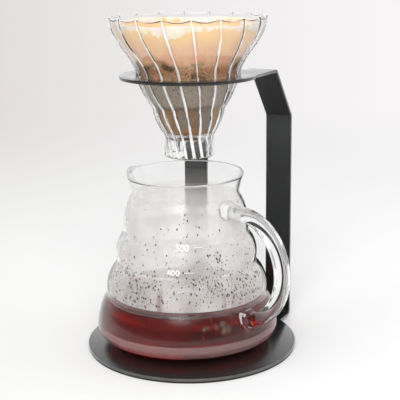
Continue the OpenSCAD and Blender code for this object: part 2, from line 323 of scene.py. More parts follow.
class Tree:
    """Short calls for building a node tree."""

    def __init__(self, tree):
        self.tree = tree

    def put(self, socket, value):
        if isinstance(value, bpy.types.NodeSocket):
            self.tree.links.new(value, socket)
        else:
            socket.default_value = value

    def fill(self, node, values):
        for key, value in values.items():
            self.put(node.inputs[key], value)

    def node(self, kind, values=None, **settings):
        n = self.tree.nodes.new(kind)
        for key, value in settings.items():
            setattr(n, key, value)
        self.fill(n, values or {})
        return n

    def math(self, operation, a, b=None, clamp=False):
        n = self.node("ShaderNodeMath", {0: a}, operation=operation, use_clamp=clamp)
        if b is not None:
            self.put(n.inputs[1], b)
        return n.outputs[0]

    def times(self, a, b):
        return self.math("MULTIPLY", a, b)

    def vector(self, operation, a, b):
        return self.node("ShaderNodeVectorMath", {0: a, 1: b}, operation=operation).outputs[0]

    def dot(self, a, b):
        return self.node("ShaderNodeVectorMath", {0: a, 1: b}, operation="DOT_PRODUCT").outputs["Value"]

    def vector_length(self, a):
        return self.node("ShaderNodeVectorMath", {0: a}, operation="LENGTH").outputs["Value"]

    def object_place(self):
        return self.node("ShaderNodeTexCoord").outputs["Object"]

    def noise(self, place, scale, detail):
        values = {"Vector": place, "Scale": scale, "Detail": detail}
        return self.node("ShaderNodeTexNoise", values).outputs["Fac"]

    def ramp(self, factor, stops):
        n = self.node("ShaderNodeValToRGB", {"Fac": factor})
        elements = n.color_ramp.elements
        while len(elements) < len(stops):
            elements.new(0.5)
        for element, (place, colour) in zip(elements, stops):
            element.position = place
            element.color = (*colour, 1.0)
        return n.outputs["Color"]

    def span(self, value, low, high, to_low=0.0, to_high=1.0, smooth=False):
        n = self.node("ShaderNodeMapRange", {0: value, 1: low, 2: high, 3: to_low, 4: to_high})
        n.interpolation_type = "SMOOTHSTEP" if smooth else "LINEAR"
        return n.outputs[0]

    def blend(self, factor, a, b, mode="MIX"):
        n = self.node("ShaderNodeMix", {0: factor}, data_type="RGBA", blend_type=mode)
        self.put(n.inputs[6], a)
        self.put(n.inputs[7], b)
        return n.outputs[2]

    def mix_surface(self, factor, shader, other):
        """Mixes a second shader into the surface by the factor."""
        mix = self.node("ShaderNodeMixShader", {0: factor, 1: shader.outputs[0], 2: other.outputs[0]})
        self.put(self.tree.nodes["Material Output"].inputs["Surface"], mix.outputs[0])


def rgb(r, g, b):
    return (r, g, b, 1.0)


def group_tree(name, kind, inputs, outputs):
    tree = bpy.data.node_groups.new(name, kind)
    for where, sockets in (("INPUT", inputs), ("OUTPUT", outputs)):
        for label, socket, default in sockets:
            made = tree.interface.new_socket(label, in_out=where, socket_type=socket)
            if default is not None:
                made.default_value = default
    t = Tree(tree)
    return t, t.node("NodeGroupInput").outputs, t.node("NodeGroupOutput").inputs


def new_material(name):
    material = bpy.data.materials.new(name)
    material.use_nodes = True
    t = Tree(material.node_tree)
    return material, t, material.node_tree.nodes["Principled BSDF"]


# Shared shader effects

def mottle_group():
    """Fine mottling: a soft colour variation and a height for bump, both on Object coordinates."""
    t, given, out = group_tree(
        "mottle", "ShaderNodeTree",
        [("Scale", "NodeSocketFloat", 600.0), ("Detail Scale", "NodeSocketFloat", 2500.0)],
        [("Variation", "NodeSocketFloat", None), ("Height", "NodeSocketFloat", None)])
    place = t.object_place()
    coarse = t.noise(place, given["Scale"], 3.0)
    fine = t.noise(place, given["Detail Scale"], 2.0)
    t.put(out["Variation"], t.span(coarse, 0.3, 0.7))
    t.put(out["Height"], t.math("ADD", t.times(coarse, 0.6), t.times(fine, 0.4)))
    return t.tree


MOTTLE = mottle_group()


def mottle(t, scale, detail):
    n = t.node("ShaderNodeGroup", node_tree=MOTTLE)
    t.fill(n, {"Scale": scale, "Detail Scale": detail})
    return n.outputs["Variation"], n.outputs["Height"]


def mottled(t, shader, scale, detail, dark, light, rough=None):
    """Lets the colour, and a given roughness, vary with the mottling, and returns its height."""
    variation, height = mottle(t, scale, detail)
    t.put(shader.inputs["Base Color"], t.ramp(variation, [(0.0, dark), (1.0, light)]))
    if rough:
        t.put(shader.inputs["Roughness"], t.span(variation, 0.0, 1.0, *rough))
    return height


def add_bump(t, shader, height, distance, strength=1.0):
    n = t.node("ShaderNodeBump", {"Height": height, "Distance": distance, "Strength": strength})
    t.put(shader.inputs["Normal"], n.outputs["Normal"])


def height_mm(t):
    """Height above the table, in millimetres."""
    return t.times(t.node("ShaderNodeSeparateXYZ", {0: t.object_place()}).outputs["Z"], 1000.0)


def let_light_through(t, shader):
    """Lamps shine through the glass, so that what stands behind it is lit as it is in daylight."""
    clear = t.node("ShaderNodeBsdfTransparent", {"Color": rgb(0.97, 0.975, 0.97)})
    path = t.node("ShaderNodeLightPath")
    t.mix_surface(path.outputs["Is Shadow Ray"], shader, clear)


# Materials

def powder_coat(name, dark, light):
    material, t, shader = new_material(name)
    height = mottled(t, shader, 140.0, 3200.0, dark, light, (0.24, 0.27))
    t.fill(shader, {"IOR": 1.35, "Coat Weight": 1.0, "Coat IOR": 1.35, "Coat Roughness": 0.17})
    add_bump(t, shader, height, 0.00003, 0.06)
    return material


def pad_rubber():
    material, t, shader = new_material("pad_rubber")
    height = mottled(t, shader, 400.0, 1800.0, (0.010, 0.010, 0.010), (0.020, 0.020, 0.019), (0.7, 0.85))
    add_bump(t, shader, height, 0.0001, 0.6)
    return material


def dripper_glass():
    """Plain pressed glass with a faint waviness."""
    material, t, shader = new_material("dripper_glass")
    height = mottled(t, shader, 60.0, 220.0, (0.97, 0.98, 0.975), (0.99, 0.99, 0.99))
    t.fill(shader, {"Transmission Weight": 1.0, "IOR": 1.36, "Roughness": 0.0})
    add_bump(t, shader, height, 0.0002, 0.12)
    let_light_through(t, shader)
    return material


def glass_with_painted_light(name, clear=0.45, tint=(0.98, 0.98, 0.98), rough=0.17):
    """Glass with a share of diffuse colour, which paints light into it: the pale highlights along ridges,
    rims and welds, and the glows at the server's foot and heel.
    """
    material, t, shader = new_material(name)
    darker = [0.93 * c for c in tint]
    height = mottled(t, shader, 120.0, 600.0, darker, tint, (0.7 * rough, 1.3 * rough))
    t.fill(shader, {"Transmission Weight": clear, "IOR": 1.47})
    add_bump(t, shader, height, 0.0001, 0.2)
    return material


def server_glass():
    """Blown glass, slightly uneven, and tinted by height: pinkish at the foot, a little darker just above
    the coffee and clearer towards the mouth.
    """
    material, t, shader = new_material("server_glass")
    film = t.ramp(t.span(height_mm(t), 14.0, 120.0), [
        (0.0, (0.985, 0.94, 0.94)), (0.13, (0.97, 0.96, 0.96)), (0.20, (0.955, 0.95, 0.95)),
        (0.42, (0.965, 0.96, 0.96)), (0.75, (0.98, 0.98, 0.98)), (1.0, (0.99, 0.99, 0.99))])
    t.fill(shader, {"Base Color": film, "Transmission Weight": 1.0, "IOR": 1.38, "Roughness": 0.0,
                    "Specular Tint": rgb(0.12, 0.12, 0.12),
                    "Coat Weight": 0.6, "Coat IOR": 1.45, "Coat Roughness": 0.2})
    add_bump(t, shader, t.noise(t.object_place(), 16.0, 0.0), 0.0006, 0.3)
    let_light_through(t, shader)
    return material


def coffee():
    material, t, shader = new_material("coffee")
    t.fill(shader, {"Base Color": rgb(0.85, 0.15, 0.12), "Transmission Weight": 0.973, "IOR": 1.333,
                    "Roughness": 0.0, "Specular IOR Level": 0.3})
    body = t.node("ShaderNodeVolumeAbsorption", {"Color": rgb(0.77, 0.12, 0.10), "Density": 44.0})
    t.put(t.tree.nodes["Material Output"].inputs["Volume"], body.outputs[0])
    let_light_through(t, shader)
    return material


def coffee_drops(name, dark, light, clear, ior, rough):
    material, t, shader = new_material(name)
    mottled(t, shader, 300.0, 900.0, dark, light)
    t.fill(shader, {"Transmission Weight": clear, "IOR": ior, "Roughness": rough})
    return material


def filter_paper():
    """Wet paper: white at its edge, stained below, and dark where the grounds lie behind it."""
    material, t, shader = new_material("filter_paper")
    place = t.object_place()
    z = height_mm(t)
    edge = t.noise(place, 55.0, 4.0)
    upright = t.vector("MULTIPLY", place, (1.0, 1.0, 0.25))
    torn = t.noise(upright, 210.0, 5.0)
    uneven = t.math("ADD", t.span(edge, 0.25, 0.75, -5.0, 5.0), t.span(torn, 0.25, 0.75, -3.5, 3.5))
    wander = t.math("ADD", z, t.times(uneven, t.span(z, 162.0, 190.0, 0.15, 1.0)))
    stain = t.ramp(t.span(wander, 140.0, 210.0), [
        (0.0, (0.29, 0.135, 0.02)), (0.05, (0.29, 0.135, 0.02)), (0.09, (0.18, 0.08, 0.012)),
        (0.18, (0.22, 0.10, 0.025)), (0.22, (0.20, 0.10, 0.03)), (0.25, (0.10, 0.06, 0.025)),
        # From 0.28 to 0.44, just below the ring, the grey-brown is partly the wet stained paper and partly a
        # painted reflection of the glass in front of it
        (0.28, (0.33, 0.27, 0.205)), (0.44, (0.42, 0.345, 0.265)), (0.53, (0.46, 0.30, 0.18)),
        (0.60, (0.54, 0.31, 0.165)), (0.63, (0.78, 0.50, 0.31)), (0.68, (0.96, 0.63, 0.42)),
        (0.87, (0.97, 0.66, 0.38)), (0.915, (0.96, 0.66, 0.34)), (0.94, (0.94, 0.84, 0.72)),
        (1.0, (0.95, 0.90, 0.84))])

    def spotted(under, where, pattern, start, full, strength, colour):
        spots = t.span(pattern, start, full, 0.0, strength)
        return t.blend(t.times(where, spots), under, rgb(*colour))

    foot = t.times(t.span(z, 142.0, 146.0, smooth=True), t.span(z, 160.0, 155.0, smooth=True))
    seep = t.noise(t.vector("ADD", upright, (0.0, 0.03, 0.0)), 70.0, 2.0)
    stain = spotted(stain, foot, seep, 0.50, 0.58, 0.9, (0.42, 0.20, 0.045))
    stain = spotted(stain, foot, seep, 0.47, 0.40, 0.8, (0.20, 0.165, 0.13))
    wash = t.ramp(t.span(t.noise(place, 120.0, 4.0), 0.3, 0.7), [
        (0.0, (1.0, 0.86, 0.96)), (0.5, (0.97, 1.0, 1.0)), (1.0, (1.0, 1.0, 0.78))])
    stain = t.blend(0.7, stain, wash, "MULTIPLY")
    damp = t.times(t.span(z, 183.0, 187.0, smooth=True), t.span(z, 201.0, 193.0, smooth=True))
    dark = t.span(t.math("ADD", z, t.span(edge, 0.25, 0.75, -3.0, 3.0)), 187.0, 182.0, smooth=True)
    above_ring = t.times(dark, t.span(z, 172.0, 178.0, smooth=True))
    deep = t.times(dark, t.span(z, 150.0, 172.0, 0.25, 1.0))
    bed = t.noise(place, 95.0, 3.0)
    blot = t.noise(place, 800.0, 5.0)
    painted_glints = t.node("ShaderNodeTexVoronoi", {"Vector": place, "Scale": 420.0}).outputs["Distance"]
    stain = spotted(stain, damp, t.noise(place, 140.0, 4.0), 0.46, 0.66, 0.8, (0.94, 0.50, 0.33))
    stain = spotted(stain, above_ring, bed, 0.5, 0.58, 0.85, (0.085, 0.05, 0.026))
    stain = spotted(stain, above_ring, bed, 0.47, 0.38, 0.8, (0.70, 0.30, 0.15))
    stain = spotted(stain, deep, blot, 0.52, 0.62, 0.6, (0.045, 0.022, 0.012))
    stain = spotted(stain, deep, blot, 0.45, 0.32, 0.6, (0.50, 0.22, 0.09))
    # Painted glints: small pale specks among the dark grounds
    stain = spotted(stain, deep, painted_glints, 0.16, 0.10, 1.0, (0.85, 0.74, 0.62))
    variation, height = mottle(t, 700.0, 2600.0)
    stain = t.blend(t.times(variation, 0.12), stain, rgb(1.0, 0.95, 0.88), "MULTIPLY")
    t.fill(shader, {"Base Color": stain, "Roughness": 0.6, "Subsurface Weight": 0.45,
                    "Subsurface Radius": (1.0, 0.7, 0.5), "Subsurface Scale": 0.0004})
    add_bump(t, shader, height, 0.00015, 0.6)
    return material


def wet_grounds():
    material, t, shader = new_material("wet_grounds")
    variation, height = mottle(t, 700.0, 2000.0)
    t.put(shader.inputs["Base Color"], t.ramp(variation, [
        (0.0, (0.020, 0.010, 0.006)), (0.6, (0.055, 0.028, 0.014)), (1.0, (0.12, 0.06, 0.03))]))
    t.put(shader.inputs["Roughness"], t.span(variation, 0.0, 1.0, 0.35, 0.7))
    add_bump(t, shader, height, 0.0008, 1.0)
    return material


def steam_film():
    """Steam on the inside of the glass: thick above the coffee, thin at the neck, with runs in it."""
    material, t, shader = new_material("steam_film")
    place = t.object_place()
    cloud = t.noise(place, 60.0, 4.0)
    streak = t.noise(t.vector("MULTIPLY", place, (1.0, 1.0, 0.3)), 75.0, 3.0)
    white = t.ramp(t.span(streak, 0.35, 0.62), [(0.0, (0.84, 0.82, 0.80)), (1.0, (0.99, 0.98, 0.965))])
    run = t.node("ShaderNodeAttribute", attribute_name="run").outputs["Fac"]
    thick = t.ramp(t.span(height_mm(t), 30.0, 115.0), [
        (at, (level,) * 3) for at, level in (
            (0.0, 0.74), (0.06, 0.98), (0.30, 0.92), (0.66, 0.83), (0.76, 0.56), (0.84, 0.10), (1.0, 0.0))])
    t.fill(shader, {"Base Color": t.blend(run, white, rgb(0.46, 0.34, 0.35)),
                    "Alpha": t.math("MULTIPLY", thick, t.span(cloud, 0.3, 0.7, 0.78, 1.0), clamp=True),
                    "Transmission Weight": 0.3, "IOR": 1.05, "Roughness": 1.0})
    return material


def white_print():
    material, t, shader = new_material("white_enamel_print")
    height = mottled(t, shader, 900.0, 3000.0, (0.88, 0.88, 0.88), (0.97, 0.97, 0.97), (0.35, 0.5))
    add_bump(t, shader, height, 0.00005, 0.4)
    return material


# Geometry Nodes

def bake_tree(obj, tree, values):
    """Runs a geometry tree on an object and keeps the result as its plain mesh."""
    modifier = obj.modifiers.new(tree.name, "NODES")
    modifier.node_group = tree
    for item in tree.interface.items_tree:
        if item.item_type == "SOCKET" and item.in_out == "INPUT" and item.name in values:
            modifier[item.identifier] = values[item.name]
    mesh = evaluated_mesh(obj)
    obj.modifiers.remove(modifier)
    old, obj.data = obj.data, mesh
    mesh.name = obj.name
    bpy.data.meshes.remove(old)
    shade(mesh)
    return obj


def own_value(t, name):
    """The value of the given name that each point carries."""
    return t.node("GeometryNodeInputNamedAttribute", {"Name": name}, data_type="FLOAT").outputs["Attribute"]


def flute_tree():
    """Turns a plain shell of revolution into a fluted one with a bead of glass along each ridge.

    Each point carries its flute depth, bead height and width, turn around the axis and dip.
    The wave is 0 on a ridge. The core of each bead, and the lip, get a pale glass that paints a highlight
    along the ridge and the rim."""
    t, given, out = group_tree(
        "flutes", "GeometryNodeTree",
        [("Geometry", "NodeSocketGeometry", None), ("Flute Count", "NodeSocketInt", 18),
         ("Ridge Round", "NodeSocketFloat", 0.12), ("Highlight Core", "NodeSocketFloat", 0.6),
         ("Material", "NodeSocketMaterial", None), ("Painted Highlight Material", "NodeSocketMaterial", None)],
        [("Geometry", "NodeSocketGeometry", None)])
    place = t.node("GeometryNodeInputPosition").outputs[0]
    x, y, z = t.node("ShaderNodeSeparateXYZ", {0: place}).outputs
    angle = t.math("ARCTAN2", y, x)
    radius = t.math("SQRT", t.math("ADD", t.times(x, x), t.times(y, y)))
    swing = t.math("SINE", t.times(angle, t.times(given["Flute Count"], 0.5)))
    soft = t.times(given["Ridge Round"], given["Ridge Round"])
    rounded = t.math("SQRT", t.math("ADD", t.times(swing, swing), soft))
    wave = t.math("SUBTRACT", rounded, given["Ridge Round"])
    far = t.math("DIVIDE", swing, own_value(t, "bead_width"))
    arch = t.math("MAXIMUM", t.math("SUBTRACT", 1.0, t.times(far, far)), 0.0)
    bead = t.math("SUBTRACT", 1.0, t.math("SQRT", arch))
    inset = t.math("ADD", t.times(wave, own_value(t, "flute_depth")), t.times(bead, own_value(t, "bead")))
    new_radius = t.math("SUBTRACT", radius, inset)
    new_angle = t.math("ADD", angle, own_value(t, "flute_turn"))
    new_place = t.node("ShaderNodeCombineXYZ", {
        "X": t.times(new_radius, t.math("COSINE", new_angle)),
        "Y": t.times(new_radius, t.math("SINE", new_angle)),
        "Z": t.math("SUBTRACT", z, t.times(wave, own_value(t, "rim_dip")))})
    marked = t.node("GeometryNodeStoreNamedAttribute", {
        "Geometry": given["Geometry"], "Name": "off_ridge", "Value": t.math("ABSOLUTE", far)},
        data_type="FLOAT", domain="POINT")
    moved = t.node("GeometryNodeSetPosition", {
        "Geometry": marked.outputs[0], "Position": new_place.outputs[0]})
    whole = t.node("GeometryNodeRealizeInstances", {"Geometry": moved.outputs[0]})
    dressed = t.node("GeometryNodeSetMaterial", {
        "Geometry": whole.outputs[0], "Material": given["Material"]})
    # Painted highlight: the share of each bead that gets the pale glass wanders with noise, like broken
    # glints
    core = t.times(given["Highlight Core"], t.span(t.noise(place, 85.0, 2.0), 0.35, 0.65, 0.4, 1.3))
    raised = t.math("GREATER_THAN", own_value(t, "bead"), BEAD * MM / 2)
    on_bead = t.times(raised, t.math("LESS_THAN", own_value(t, "off_ridge"), core))
    # The lip gets the painted highlight too
    on_bead = t.math("MAXIMUM", on_bead, t.math("GREATER_THAN", own_value(t, "lip"), 0.5))
    beaded = t.node("GeometryNodeSetMaterial", {
        "Geometry": dressed.outputs[0], "Selection": on_bead, "Material": given["Painted Highlight Material"]})
    t.put(out["Geometry"], beaded.outputs[0])
    return t.tree


def scatter_tree():
    """Scatters small rounded lumps over a carrier, thicker where its attribute wet is high."""
    t, given, out = group_tree(
        "scatter", "GeometryNodeTree",
        [("Geometry", "NodeSocketGeometry", None), ("Density", "NodeSocketFloat", 1e5),
         ("Smallest", "NodeSocketFloat", 0.0003), ("Largest", "NodeSocketFloat", 0.0009),
         ("Flatness", "NodeSocketFloat", 0.5), ("Longest", "NodeSocketFloat", 1.25),
         ("Tumble", "NodeSocketFloat", 0.0), ("Subdivisions", "NodeSocketInt", 2),
         ("Seed", "NodeSocketInt", 1), ("Material", "NodeSocketMaterial", None)],
        [("Geometry", "NodeSocketGeometry", None)])
    points = t.node("GeometryNodeDistributePointsOnFaces", {
        "Mesh": given["Geometry"], "Seed": given["Seed"],
        "Density": t.times(own_value(t, "wet"), given["Density"])})
    lump = t.node("GeometryNodeMeshIcoSphere", {"Radius": 1.0, "Subdivisions": given["Subdivisions"]})
    share = t.node("FunctionNodeRandomValue", {"Seed": given["Seed"]})
    growth = t.times(t.math("POWER", share.outputs[1], 2.5),
                     t.math("SUBTRACT", given["Largest"], given["Smallest"]))
    size = t.math("ADD", given["Smallest"], growth)
    stretch = t.node("FunctionNodeRandomValue", {
        2: 0.8, 3: given["Longest"], "Seed": t.math("ADD", given["Seed"], 7.0)})
    scale = t.node("ShaderNodeCombineXYZ", {
        "X": size, "Y": t.times(size, stretch.outputs[1]), "Z": t.times(size, given["Flatness"])})
    lumps = t.node("GeometryNodeInstanceOnPoints", {
        "Points": points.outputs["Points"], "Instance": lump.outputs["Mesh"],
        "Rotation": points.outputs["Rotation"], "Scale": scale.outputs[0]})
    spin = t.node("FunctionNodeRandomValue", {
        0: (-math.pi,) * 3, 1: (math.pi,) * 3, "Seed": t.math("ADD", given["Seed"], 13.0)},
        data_type="FLOAT_VECTOR")
    tumbled = t.node("ShaderNodeVectorMath", {0: spin.outputs[0], "Scale": given["Tumble"]},
                     operation="SCALE")
    turned = t.node("GeometryNodeRotateInstances", {
        "Instances": lumps.outputs[0], "Rotation": tumbled.outputs[0]})
    whole = t.node("GeometryNodeRealizeInstances", {"Geometry": turned.outputs[0]})
    dressed = t.node("GeometryNodeSetMaterial", {
        "Geometry": whole.outputs[0], "Material": given["Material"]})
    t.put(out["Geometry"], dressed.outputs[0])
    return t.tree


SCATTER = scatter_tree()


# Stand

def make_stand():
    """The bent sheet with its laser-cut edges eased, from a merged copy of the CAD solid."""
    obj = link_new("stand_sheet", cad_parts["stand_frame"].data.copy())
    # The second coat is a lighter grey, a painted sheen for the side faces of the base and the legs
    dress(obj.data, powder_coat("black_powder_coat", (0.010, 0.012, 0.0115), (0.012, 0.0145, 0.0138)),
          powder_coat("painted_edge_sheen_coat", (0.06, 0.06, 0.057), (0.10, 0.10, 0.096)))
    b = bmesh.new()
    b.from_mesh(obj.data)
    bmesh.ops.remove_doubles(b, verts=b.verts, dist=2e-6)
    bmesh.ops.dissolve_limit(b, angle_limit=math.radians(0.6), verts=b.verts, edges=b.edges)
    edges = [e for e in b.edges if len(e.link_faces) == 2 and e.calc_face_angle() > EDGE_TURN]
    bmesh.ops.bevel(b, geom=edges, offset=EDGE_ROUND * MM, segments=2, profile=0.5, affect="EDGES",
                    clamp_overlap=True)
    bmesh.ops.triangulate(b, faces=[f for f in b.faces if len(f.verts) > 4])
    b.normal_update()
    for face in b.faces:
        face.smooth = True
        z = face.calc_center_median().z / MM
        # The side faces of the base and the legs take the painted sheen
        base_edge = z < BASE_Z and abs(face.normal.z) < 0.5
        leg_edge = BASE_Z < z < RING_Z - SHEET and abs(face.normal.x) > 0.9
        face.material_index = int(base_edge or leg_edge)
    b.to_mesh(obj.data)
    b.free()
    obj.data.set_sharp_from_angle(angle=math.radians(28))
    seat(obj, "stand", "black_steel", None, "stand_frame")


# Dripper, filter and grounds

def rounded_in(bottom, top, steps):
    """A bowl that rounds in from its top to its bottom, from the bottom up and without the top."""
    (low_r, low_z), (high_r, high_z) = bottom, top
    shares = 1 - np.arange(steps) / steps
    return [np.array([between(high_r, low_r, s ** CUP_CURVE), between(high_z, low_z, s)]) for s in shares]


def dripper_outline():
    bowl = []
    for s in np.linspace(0, 1, 41):
        swell = (1 - math.cos(math.pi * s ** BOWL_LEAN)) / 2
        bowl.append(np.array([between(SEAT_R, RIM_R, swell), between(RING_Z, RIM_Z, s)]))
    return np.array([np.array([STEM_R, OUTLET_Z]), *rounded_in((STEM_R, STEM_Z), (WAIST_R, WAIST_Z), 20),
                     *rounded_in((WAIST_R, WAIST_Z), (SEAT_R, RING_Z), 20), *bowl])


DRIPPER_OUTLINE = dripper_outline()


def ridge_r(z):
    return np.interp(z, DRIPPER_OUTLINE[:, 1], DRIPPER_OUTLINE[:, 0])


def flute_depth(z):
    return between(FLUTE_STEM, FLUTE_RIM, (z - OUTLET_Z) / (RIM_Z - OUTLET_Z))


def flute_turns(z):
    """Turn of the flutes around the axis at each height, from none at the rim."""
    steps = np.linspace(RIM_Z + 1, OUTLET_Z - 1, 400)
    turn = np.concatenate([[0], np.cumsum(math.tan(FLUTE_LEAN) * -np.diff(steps) / ridge_r(steps[1:]))])
    return np.interp(z, steps[::-1], turn[::-1])


def flute_angles(bead_edge):
    """Angles of the columns in each row, dense on the beads, whose edges are given as shares of a flute."""
    edge = bead_edge[:, None]
    on_bead, off_bead = [0.0, 0.3, 0.58, 0.79, 0.93, 1.0], [0.03, 0.09, 0.2, 0.37, 0.64]
    half = np.hstack([edge * on_bead, edge + (0.5 - edge) * off_bead])
    columns = np.hstack([half, np.full((len(edge), 1), 0.5), 1 - half[:, :0:-1]])
    return np.hstack([2 * math.pi * (k + columns) / FLUTES for k in range(FLUTES)])


def make_dripper():
    """One shell of bowl, waist, cup and stem, whose flutes lean as they run down and scallop the rim."""
    inside = [p - [DRIPPER_WALL, 0] for p in DRIPPER_OUTLINE[::-1] if p[1] > CUP_FLOOR_Z + 0.4]
    web = CUP_FLOOR_Z - OUTLET_WEB
    stem_in = STEM_R - DRIPPER_WALL
    foot = [(ridge_r(CUP_FLOOR_Z) - DRIPPER_WALL, CUP_FLOOR_Z), (OUTLET_R, CUP_FLOOR_Z), (OUTLET_R, web),
            (stem_in, web - DRIPPER_WALL), (stem_in, OUTLET_Z)]
    profile = softened([*DRIPPER_OUTLINE, *inside, *foot], DRIPPER_STEP, DRIPPER_SOFT)
    r, z = profile[:, 0], profile[:, 1]
    bead_half = np.interp(z, [WAIST_Z, RIM_Z], [BEAD_HALF_CUP, BEAD_HALF_RIM])
    bead_edge = bead_half * FLUTES / (2 * math.pi * np.maximum(r, stem_in))
    angles = flute_angles(bead_edge)
    obj = lathe("fluted_dripper", profile, angles, loop=True)
    outer = np.clip((r - ridge_r(z) + DRIPPER_WALL) / DRIPPER_WALL, 0, 1)
    fluted = np.clip((r - OUTLET_R) / FLUTE_FADE, 0, 1)
    bead = BEAD * outer * np.clip((z - OUTLET_Z) / FLUTE_FADE, 0, 1)
    up_bowl = np.clip((z - RING_Z) / (RIM_Z - RING_Z), 0, 1.02)
    rows = {"bead": bead * MM,
            "bead_width": np.sin(math.pi * bead_edge),
            "flute_depth": (flute_depth(z) * between(INNER_FLUTE, 1.0, outer) * fluted - bead) * MM,
            "lip": (z > RIM_Z - LIP) * 1.0,
            "flute_turn": flute_turns(z),
            "rim_dip": SCALLOP * up_bowl ** SCALLOP_CURVE * MM}
    for name, values in rows.items():
        point_values(obj, name, np.repeat(values, angles.shape[1]))
    # Pale glass that paints the highlight along the ridges and the rim
    ridge_highlight = glass_with_painted_light("dripper_ridge_painted_highlight", 0.3, (1.0, 1.0, 1.0), 0.12)
    bake_tree(obj, flute_tree(), {"Flute Count": FLUTES, "Ridge Round": RIDGE_ROUND, "Highlight Core": BEAD_HIGHLIGHT_CORE,
                                 "Material": dripper_glass(), "Painted Highlight Material": ridge_highlight})
    face_outwards(obj)
    seat(obj, "dripper", "dripper_glass", None, "dripper")


def paper_r(z):
    return ridge_r(z) - flute_depth(z) - DRIPPER_WALL - PAPER_GAP


def inside_paper_r(z, gap):
    """Radius that is free inside the paper, past its waves, less a gap."""
    return paper_r(z) * PAPER_FREE - PAPER - gap


def make_filter(paper):
    """Paper with a loose, slightly wavy edge."""
    levels = np.linspace(PAPER_FOOT_Z, PAPER_TOP_Z, 70)
    outer = [(0.0, PAPER_FOOT_Z), *zip(paper_r(levels), levels)]
    inner = [(r - PAPER, max(z, PAPER_FOOT_Z + PAPER)) for r, z in reversed(outer)]
    obj = lathe("paper_cone", [*outer, *inner], even_angles(180))
    co = coordinates(obj)
    angle = np.arctan2(co[:, 1], co[:, 0])
    high = np.clip((co[:, 2] / MM - PAPER_LOOSE_Z) / (PAPER_TOP_Z - PAPER_LOOSE_Z), 0, 1)
    wave = 0.5 * np.sin(5 * angle + 0.7) + 0.3 * np.sin(11 * angle + 2.1) + 0.2 * np.sin(17 * angle)
    co[:, :2] *= (1 - PAPER_SWAY * high * (1 + wave))[:, None]
    co[:, 2] += PAPER_WAVE * MM * wave * high ** 8
    move_points(obj, co)
    face_outwards(obj)
    seat(obj, "filter", "filter_paper", paper, "paper_filter")


def make_seam(paper):
    """The crimped side seam: a strip along the inside of the paper, waved between its two edges."""
    levels = np.linspace(SEAM_LOW, SEAM_TOP, 240)
    verts, faces = [], []
    for z in levels:
        crimp = SEAM_CRIMP * math.sin(2 * math.pi * z / SEAM_PITCH)
        r = inside_paper_r(z, SEAM_GAP)
        for across in SEAM_ACROSS:
            a = SEAM_TURN + across * SEAM_W / 2 / r
            lift = crimp if abs(across) < 1 else 0.0
            for depth in (0.0, SEAM_T):
                q = r - depth + lift
                verts.append((q * math.cos(a) * MM, q * math.sin(a) * MM, z * MM))
    row = 2 * len(SEAM_ACROSS)
    last = row * (len(levels) - 1)
    pairs = range(0, row - 2, 2)
    for a in range(0, last, row):
        sides = [a + k + side for k in pairs for side in (0, 1)]
        faces += [(s, s + 2, s + row + 2, s + row) for s in sides]
        faces += [(e, e + 1, e + row + 1, e + row) for e in (a, a + row - 2)]
    for a in (0, last):
        faces += [(a + k, a + k + 2, a + k + 3, a + k + 1) for k in pairs]
    seat(face_outwards(new_object("crimped_seam", verts, faces)), "filter", "filter_paper", paper)


def bed_surface(edge_r, shares):
    """Points of the dished top of the grounds, at shares of its radius."""
    return [(edge_r * s, BED_TOP_Z - BED_DISH * (1 - s ** BED_CURVE)) for s in shares]


def make_grounds(wet):
    levels = np.linspace(PAPER_FOOT_Z + PAPER + 0.1, BED_TOP_Z, 40)
    side = [(0.0, levels[0]), *zip(inside_paper_r(levels, BED_GAP), levels)]
    edge_r = side[-1][0]
    obj = lathe("coffee_grounds", [*side, *bed_surface(edge_r, np.linspace(0.98, 0, 30))], even_angles(120))
    co = coordinates(obj)
    rng = np.random.default_rng(4)
    on_top = co[:, 2] > (BED_TOP_Z - BED_DISH - 0.3) * MM
    co[on_top, 2] += rng.normal(0, BED_ROUGH, on_top.sum()) * MM
    move_points(obj, co)
    face_outwards(obj)
    seat(obj, "filter", "wet_grounds", wet, "coffee_bed")
    carrier = lathe("loose_grains", bed_surface(edge_r, np.linspace(0, 0.97, 20)), even_angles(60))
    face_outwards(carrier)
    point_values(carrier, "wet", np.ones(len(carrier.data.vertices)))
    bake_tree(carrier, SCATTER, {"Density": 6.0e5, "Smallest": 0.00028, "Largest": 0.00085, "Flatness": 0.75,
                                 "Tumble": 1.0, "Subdivisions": 1, "Seed": 5, "Material": wet})
    seat(carrier, "filter", "wet_grounds", None)


# Server

def server_outline():
    points = bowed(HEEL, (GIRTH_R, GIRTH_Z), HEEL_BOW) + bowed((GIRTH_R, GIRTH_Z), CREASES[0], BOWS[0])
    for low, high, bow in zip(CREASES, CREASES[1:], BOWS[1:]):
        points += bowed(low, high, bow)
    neck_r, neck_z = CREASES[-1]
    for s in np.linspace(0, 1, 13):
        points.append(np.array([between(neck_r, MOUTH_R, s ** NECK_CURVE), between(neck_z, MOUTH_Z, s)]))
    return np.array(points)


SERVER_OUTLINE = server_outline()


def server_r(z):
    return np.interp(z, SERVER_OUTLINE[:, 1], SERVER_OUTLINE[:, 0])


def server_wall(z):
    """The wall thins out above the coffee."""
    return np.interp(z, [COFFEE_Z, COFFEE_Z + WALL_RUN], [SERVER_WALL, UPPER_WALL])


def server_inside_r(z):
    z = np.asarray(z, float)
    corner = np.clip(FLOOR_Z + INNER_HEEL - z, 0, INNER_HEEL) / INNER_HEEL
    return server_r(np.maximum(z, GIRTH_Z)) - server_wall(z) - INNER_HEEL * (1 - np.sqrt(1 - corner ** 2))


def server_turn(co):
    """Turn of each point around the server's axis."""
    return np.arctan2(co[:, 1] / MM - SERVER_Y, co[:, 0] / MM - SERVER_X)


def server_lathe(name, profile, turns):
    return lathe(name, profile, even_angles(turns), (SERVER_X, SERVER_Y))


